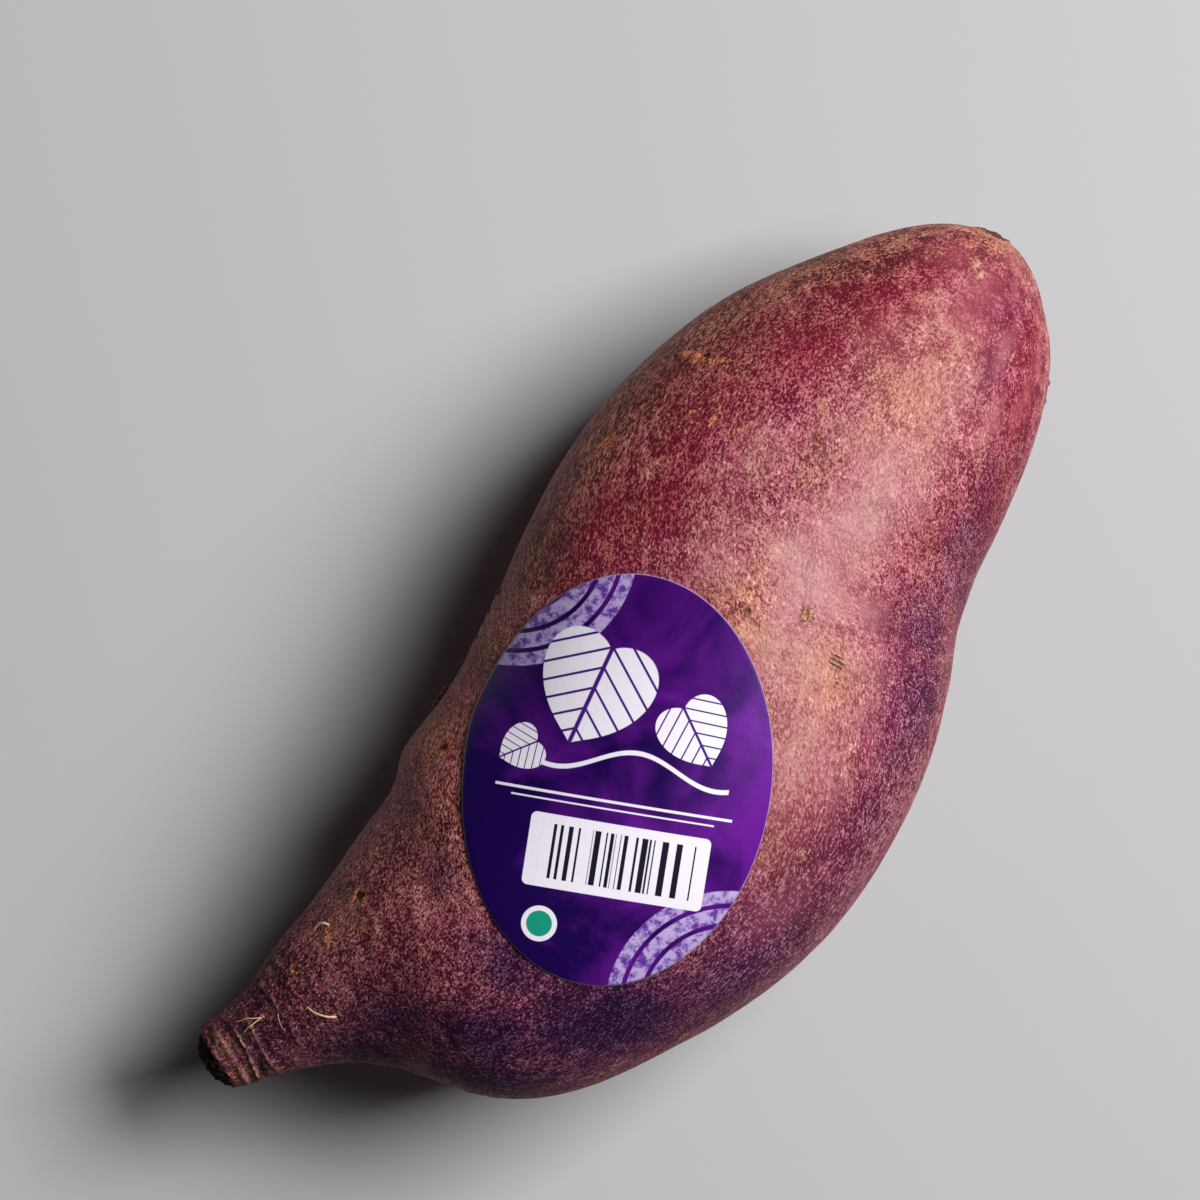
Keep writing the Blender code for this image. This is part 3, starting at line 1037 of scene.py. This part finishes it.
def brush_colours(area):
    """The colours of the ground, of the fibres on it and of their light bits."""
    hue = cloud(scaled(area.grain, 0.16, 0.22, (31.0, 7.0, 3.0)), 1.0, 4.0, 0.6)
    rosy = between(hue + area.pink * 0.16 - area.dusty * 0.08, 0.34, 0.62)
    # The neck's and the tail's coats are bluer than the body's as painted blue reflected light, and
    # the tail's are lighter as painted light
    pale_neck = area.neck * blend(area.plum_and_shade, 0.6, 0.1)
    brown = area.tail * blend(area.plum_and_shade, 1.0, 0.3)
    ground = (
        (area.crown * 0.45, (0.24, 0.016, 0.045)),
        (area.crimson, (0.16, 0.004, 0.022)),
        # Plum coats, here and below: partly the skin's colour, partly painted shade and painted
        # blue reflected light
        (area.plum_and_shade, (0.042, 0.002, 0.03)),
        # Neck plum coats, here and below: painted shade with painted blue reflected light
        (area.painted_neck_shade, (0.012, 0.002, 0.024)),
        (area.russet, (0.052, 0.007, 0.007)),
        # Dusted coats, here and below: partly dust and partly a painted highlight
        (area.dusty * 0.75, (0.37, 0.082, 0.1)),
        (pale_neck, (0.058, 0.006, 0.024)),
        (brown, (0.032, 0.007, 0.02)),
    )
    fibre = (
        (area.dusty * 0.7, (0.41, 0.205, 0.188)),
        (area.crimson, (0.42, 0.075, 0.095)),
        (area.plum_and_shade, (0.15, 0.019, 0.086)),
        (area.painted_neck_shade, (0.047, 0.009, 0.078)),
        (area.russet, (0.52, 0.155, 0.09)),
        (area.dusty * area.russet, (0.52, 0.27, 0.18)),
        (pale_neck, (0.46, 0.115, 0.142)),
        (brown, (0.185, 0.052, 0.074)),
    )
    # Light-bit coats: partly pale flecks, partly painted glints
    light = (
        (area.dusty * 0.8, (0.6, 0.33, 0.29)),
        (area.crimson * 0.7, (0.56, 0.19, 0.22)),
        (area.plum_and_shade, (0.62, 0.29, 0.38)),
        (area.painted_neck_shade, (0.31, 0.15, 0.25)),
        (area.russet, (0.86, 0.46, 0.25)),
        (pale_neck, (0.86, 0.46, 0.3)),
        (brown, (0.54, 0.28, 0.16)),
    )
    return (
        layered(mix(hue, (0.08, 0.003, 0.013), (0.17, 0.005, 0.034)), ground),
        layered(mix(rosy, (0.46, 0.17, 0.13), (0.48, 0.115, 0.16)), fibre),
        layered(mix(rosy, (0.72, 0.43, 0.32), (0.76, 0.41, 0.43)), light),
    )


def flake_colour(area, weave):
    """Orange cork, golden on the neck, and cream on dusted skin, partly as painted highlight."""
    shade = between(weave, 0.41, 0.59)
    golden = mix(shade, (0.24, 0.055, 0.03), (1.0, 0.42, 0.24))
    cream = mix(shade, (0.36, 0.13, 0.075), (0.95, 0.56, 0.38))
    orange = mix(shade, (0.2, 0.03, 0.015), (1.0, 0.35, 0.19))
    return layered(orange, ((area.neck, golden), (area.dusty, cream)))


def skin_material():
    """Crimson to plum skin, brushed and speckled all over with fine rose, tan and pale bits. Its
    colour holds painted shade, a painted highlight, painted glints and painted shadow in the tail's
    grooves.
    """
    look = Look("sweet_potato_skin")
    area = Areas(look)
    weave = fibre_weave(area.grain, area.russet)
    middling = cloud(area.grain, 0.45, 4.0, 0.65)
    crumbs = cloud(area.grain, 3.0, 3.0, 0.7)
    crease = hair_creases(area.grain) * blend(area.soft, 1.0, 0.2)
    fleck, speck_and_glint = brush_tones(area, weave, middling, crease)
    ground, fibre, light = brush_colours(area)
    spot = between(area.pale + weave * 2.4, 1.5, 2.1) * between(area.pale, 0.05, 0.4)
    flakes, shadow, pit = scar_masks(area)
    # Painted shadow: the grooves behind the tail's crests are painted near black
    sunk = area.groove_shade * between(weave, 0.66, 0.54)
    worn = area.crest * blend(area.groove_shade, 1.0, 0.0) * between(crumbs, 0.38, 0.6)
    stem = area.stem + crumbs * 0.4
    cork = mix(crumbs, (0.014, 0.004, 0.005), (0.19, 0.075, 0.055))
    end = between(area.broken + crumbs * 0.6, 0.6, 0.85)
    colour = layered(
        ground,
        (
            (fleck, fibre),
            # Pale flecks and painted glints
            (speck_and_glint, light),
            # Painted highlight
            (area.painted_highlight * 0.4, (0.71, 0.45, 0.43)),
            (spot * 0.6, (0.68, 0.44, 0.27)),
            (shadow * 0.45, (0.045, 0.012, 0.01)),
            (flakes, flake_colour(area, weave)),
            (pit, (0.022, 0.005, 0.005)),
            (sunk * 0.9, (0.01, 0.004, 0.01)),
            (worn, (0.58, 0.31, 0.14)),
            (between(stem, 0.44, 0.62) * 0.6, (0.58, 0.23, 0.16)),
            (between(stem, 0.68, 0.74), cork),
            (end, mix(crumbs, (0.006, 0.003, 0.005), (0.045, 0.018, 0.016))),
        ),
    )

    dull = blend(larger(area.tail, area.painted_neck_shade), blend(fleck, 0.52, 0.6), 0.75)
    dull = blend(larger(flakes, larger(area.groove_shade, end)), dull, 0.9)
    height = weave * blend(area.soft, 1.2, 0.6) + middling * 0.7 - crease * 0.5
    height = height + flakes * (crumbs * 4.0 + 0.8) - pit * 1.6
    return look.finished(
        {
            "Base Color": colour,
            "Roughness": dull,
            "Specular IOR Level": 0.1,
            "Normal": bump(height, 0.13 * MM),
        }
    )


def crumbled(name, scale, dark, pale, roughness):
    """A material of two colours in fine uneven crumbs."""
    look = Look(name)
    position = look.tree.nodes.new("ShaderNodeTexCoord").outputs["Object"]
    colour = mix(cloud(Value(position), scale, 2.0, 0.6), dark, pale)
    return look.finished({"Base Color": colour, "Roughness": roughness})


def rootlet_material():
    """Dry straw-coloured fibre."""
    return crumbled("dried_rootlet", 2500.0, (0.48, 0.26, 0.12), (0.86, 0.62, 0.4), 0.6)


def wart_material():
    """Dark brown cork."""
    return crumbled("dark_cork", 3000.0, (0.05, 0.016, 0.012), (0.2, 0.075, 0.035), 0.7)


def floor_material():
    return Look("pale_floor").finished({"Base Color": (0.46, 0.46, 0.47), "Roughness": 0.9})


# The label

# Seen from above: its middle, its half width and half height, and the turn of its upward
# direction from +X
LABEL_MIDDLE = (-13.2 * MM, -0.3 * MM)
LABEL_HALF_WIDTH = 18.0 * MM
LABEL_HALF_HEIGHT = 24.3 * MM
LABEL_TURN = math.radians(31)
LABEL_GAP = 0.14 * MM
LABEL_THICKNESS = 0.1 * MM
LABEL_RINGS = 70
LABEL_SPOKES = 240
# Its points are dropped on the skin from this height
DROP_HEIGHT = 1.0
# Its left edge has come loose over a short stretch: place on the sheet, height and reach
LOOSE_PLACE = (-17.7, 4.1)
LOOSE_HEIGHT = 0.35 * MM
LOOSE_REACH = 4.5

# The printed design, in millimetres right and up from the label's middle
WHITE = (0.86, 0.81, 0.9)
VIOLET = (0.06, 0.01, 0.2)
BLACK = (0.012, 0.009, 0.022)
GREEN = (0.01, 0.3, 0.2)
# Leaves: middle, turn in degrees and size
LEAVES = (
    ((-4.6, 9.0), -16, 6.0),
    ((8.6, 6.3), 34, 3.7),
    ((-12.0, 1.6), -58, 2.4),
)
# The vine that they grow on is a wave
VINE_HEIGHT = 1.5
VINE_BEND = 0.33
VINE_SHIFT = 0.9
VINE_LEVEL = 2.0
VINE_HALF_WIDTH = 0.28
VINE_REACH = 13.0
# A panel of bars
PANEL_MIDDLE = (1.4, -9.4)
PANEL_HALF = (10.6, 4.3)
PANEL_CORNER = 0.7
BARS_HALF = (9.4, 3.2)
BARS_CORNER = 0.05
# Ruled lines: height on the sheet, half length and half thickness
RULES = ((-2.6, 14.0, 0.16), (-3.5, 12.0, 0.1))
# Furrows are rings round these places
FURROWS = ((17.0, -25.0), (-16.0, 25.5))
FURROW_REACH = 14.5
FURROW_WIDTH = 2.3
DOT_MIDDLE = (-6.4, -18.0)
DOT_RADIUS = 2.1
DOT_INSIDE = 0.72 * DOT_RADIUS
PRINT_EDGE = 0.04


def heart_leaf(sheet, middle, degrees, size):
    """A heart-shaped leaf with its tip down before its turn: its area and its veins."""
    x, y, _ = split(placed(sheet, middle, degrees, size))
    away = abs(x)
    body = x * x + y * y - 1.0
    lobes = calculated("POWER", away, 2.0 / 3.0) * y
    leaf = between(body - lobes, 0.02, -0.02)
    part = calculated("FRACT", (y + away * 0.75) * 2.3)
    vein = between(abs(part - 0.5), 0.09, 0.05)
    return leaf, larger(between(away, 0.055, 0.03), vein)


def rounded_box(x, y, middle, half, corner):
    """1 inside a box with rounded corners."""
    beside = larger(abs(x - middle[0]) - (half[0] - corner), 0.0)
    above = larger(abs(y - middle[1]) - (half[1] - corner), 0.0)
    return within(length(beside, above), corner, PRINT_EDGE)


def furrow_rows(x, y, middle):
    """1 on the ridges between the furrows round a place."""
    far = length(x - middle[0], y - middle[1])
    part = calculated("FRACT", far * (1.0 / FURROW_WIDTH))
    return between(far, FURROW_REACH, FURROW_REACH - 0.15) * between(abs(part - 0.5), 0.1, 0.14)


def vine_stem(x, y):
    vine = calculated("SINE", x * VINE_BEND + VINE_SHIFT) * VINE_HEIGHT + VINE_LEVEL
    stem = within(abs(y - vine), VINE_HALF_WIDTH, 0.05)
    return stem * between(abs(x), VINE_REACH + 0.1, VINE_REACH)


def ruled_line(x, y, height, half, thick):
    rule = within(abs(y - height), thick, PRINT_EDGE)
    return rule * between(abs(x), half, half - 2.0 * PRINT_EDGE)


def label_material():
    """Violet satin paper, lighter towards its right as painted light, with a printed vine, furrows,
    a panel of bars and a green dot.
    """
    look = Look("label_paper")
    sheet = look.attribute("sheet")
    x, y, _ = split(sheet)
    wash = between(cloud(sheet, 0.75, 4.0, 0.7), 0.38, 0.58)
    lavender = mix(wash, (0.12, 0.035, 0.33), (0.5, 0.38, 0.68))
    bars = between(cloud(scaled(sheet, 1.25, 0.0, (3.0, 0.0, 0.0)), detail=1.0), 0.5, 0.52)
    bars = bars * rounded_box(x, y, PANEL_MIDDLE, BARS_HALF, BARS_CORNER)
    dot = length(x - DOT_MIDDLE[0], y - DOT_MIDDLE[1])
    rim = length(x * (MM / LABEL_HALF_WIDTH), y * (MM / LABEL_HALF_HEIGHT))

    # Painted light: the violet paper is lighter towards the label's right, with uneven tone
    painted_light_and_tone = between(x * 0.4 + cloud(sheet, 0.085, 3.0, 0.55, 0.8) * 40.0, 14.0, 30.0)
    paper = mix(painted_light_and_tone, (0.01, 0.001, 0.066), (0.125, 0.008, 0.26))
    coats = [(furrow_rows(x, y, middle), lavender) for middle in FURROWS]
    coats.append((vine_stem(x, y), WHITE))
    for middle, degrees, size in LEAVES:
        leaf, veins = heart_leaf(sheet, middle, degrees, size)
        coats.append((leaf, mix(veins, WHITE, VIOLET)))
    coats.extend((ruled_line(x, y, *rule), WHITE) for rule in RULES)
    coats += [
        (rounded_box(x, y, PANEL_MIDDLE, PANEL_HALF, PANEL_CORNER), WHITE),
        (bars, BLACK),
        (within(dot, DOT_RADIUS, PRINT_EDGE), WHITE),
        (within(dot, DOT_INSIDE, PRINT_EDGE), GREEN),
        (between(rim, 0.995, 0.998), (0.4, 0.32, 0.5)),
    ]

    fibre = cloud(sheet, 3.5, 3.0, 0.6)
    height = fibre + cloud(sheet, 0.5, 1.0) * 2.0
    return look.finished(
        {
            "Base Color": layered(paper, coats),
            "Roughness": blend(fibre, 0.32, 0.44),
            "Specular IOR Level": 0.14,
            "Normal": bump(height, 0.02 * MM),
        }
    )


def two_sided(under, over):
    """A closed sheet's rings, out along its under side and back along its upper side, and tips."""
    under_rings = under[1:].reshape(LABEL_RINGS, LABEL_SPOKES, 3)
    over_rings = over[1:].reshape(LABEL_RINGS, LABEL_SPOKES, 3)
    return np.concatenate([under_rings, over_rings[::-1]]), np.array([under[0], over[0]])


def make_label(skin):
    """The oval label, a thin sheet that follows the skin."""
    grid = with_tips(skin.plain, skin.tips())
    tree = BVHTree.FromPolygons(grid.tolist(), grid_faces(*skin.plain.shape[:2]))
    share = np.arange(1, LABEL_RINGS + 1)[:, None] / LABEL_RINGS
    right = np.append(0.0, LABEL_HALF_WIDTH * share * np.cos(circle(LABEL_SPOKES)))
    up = np.append(0.0, LABEL_HALF_HEIGHT * share * np.sin(circle(LABEL_SPOKES)))
    up_x, up_y = math.cos(LABEL_TURN), math.sin(LABEL_TURN)
    x = LABEL_MIDDLE[0] + up_x * up + up_y * right - skin.origin[0]
    y = LABEL_MIDDLE[1] + up_y * up - up_x * right - skin.origin[1]
    sheet = np.stack([right, up, np.zeros(len(up))], axis=-1) / MM
    far = np.hypot(sheet[:, 0] - LOOSE_PLACE[0], sheet[:, 1] - LOOSE_PLACE[1]) / LOOSE_REACH
    gap = LABEL_GAP + LOOSE_HEIGHT * bell(far)
    down = Vector((0.0, 0.0, -1.0))
    found = [tree.ray_cast(Vector((*spot, DROP_HEIGHT)), down)[:2] for spot in zip(x, y)]
    place, normal = np.array(found).transpose(1, 0, 2)
    under = place + normal * gap[:, None]
    over = under + normal * LABEL_THICKNESS
    made = new_piece("paper_label", [two_sided(under, over)], label_material())
    store(made.data, "sheet", *two_sided(sheet, sheet))
    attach(made, "root")
    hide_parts("label")


# The floor, the light and the camera


def make_floor():
    half = FLOOR_HALF
    corners = [(-half, -half, 0.0), (half, -half, 0.0), (half, half, 0.0), (-half, half, 0.0)]
    mesh = bpy.data.meshes.new("floor")
    mesh.from_pydata(corners, [], [(0, 1, 2, 3)])
    mesh.materials.append(floor_material())
    floor = bpy.data.objects.new("floor", mesh)
    bpy.context.scene.collection.objects.link(floor)


def make_light():
    lamp = bpy.data.lights.new("key", "AREA")
    lamp.shape = "SQUARE"
    lamp.size = LIGHT_SIZE
    lamp.energy = LIGHT_POWER
    made = bpy.data.objects.new("key", lamp)
    toward = Matrix.Rotation(VIEW_TURN, 3, "Z") @ Vector(LIGHT_DIRECTION).normalized()
    made.location = Vector(VIEW_MIDDLE) + toward * LIGHT_DISTANCE
    made.rotation_euler = toward.to_track_quat("Z", "Y").to_euler()
    bpy.context.scene.collection.objects.link(made)


def make_world():
    world = bpy.data.worlds.new("soft_room")
    world.use_nodes = True
    sky = world.node_tree.nodes["Background"]
    sky.inputs["Color"].default_value = (1.0, 1.0, 1.0, 1.0)
    sky.inputs["Strength"].default_value = SKY_STRENGTH
    bpy.context.scene.world = world


def make_camera():
    lens = bpy.data.cameras.new("camera")
    lens.sensor_width = SENSOR
    lens.lens = SENSOR * CAMERA_DISTANCE / VIEW_WIDTH
    camera = bpy.data.objects.new("camera", lens)
    camera.location = Vector(VIEW_MIDDLE) + Vector((0.0, 0.0, CAMERA_DISTANCE))
    camera.rotation_euler = (0.0, 0.0, VIEW_TURN)
    bpy.context.scene.collection.objects.link(camera)
    bpy.context.scene.camera = camera


def main():
    make_camera()
    make_world()
    make_light()
    make_floor()
    skin = Skin(MiddleLine())
    make_root(skin)
    make_rootlets(skin)
    make_warts(skin)
    make_label(skin)
    bpy.context.scene.view_settings.view_transform = "Standard"


main()
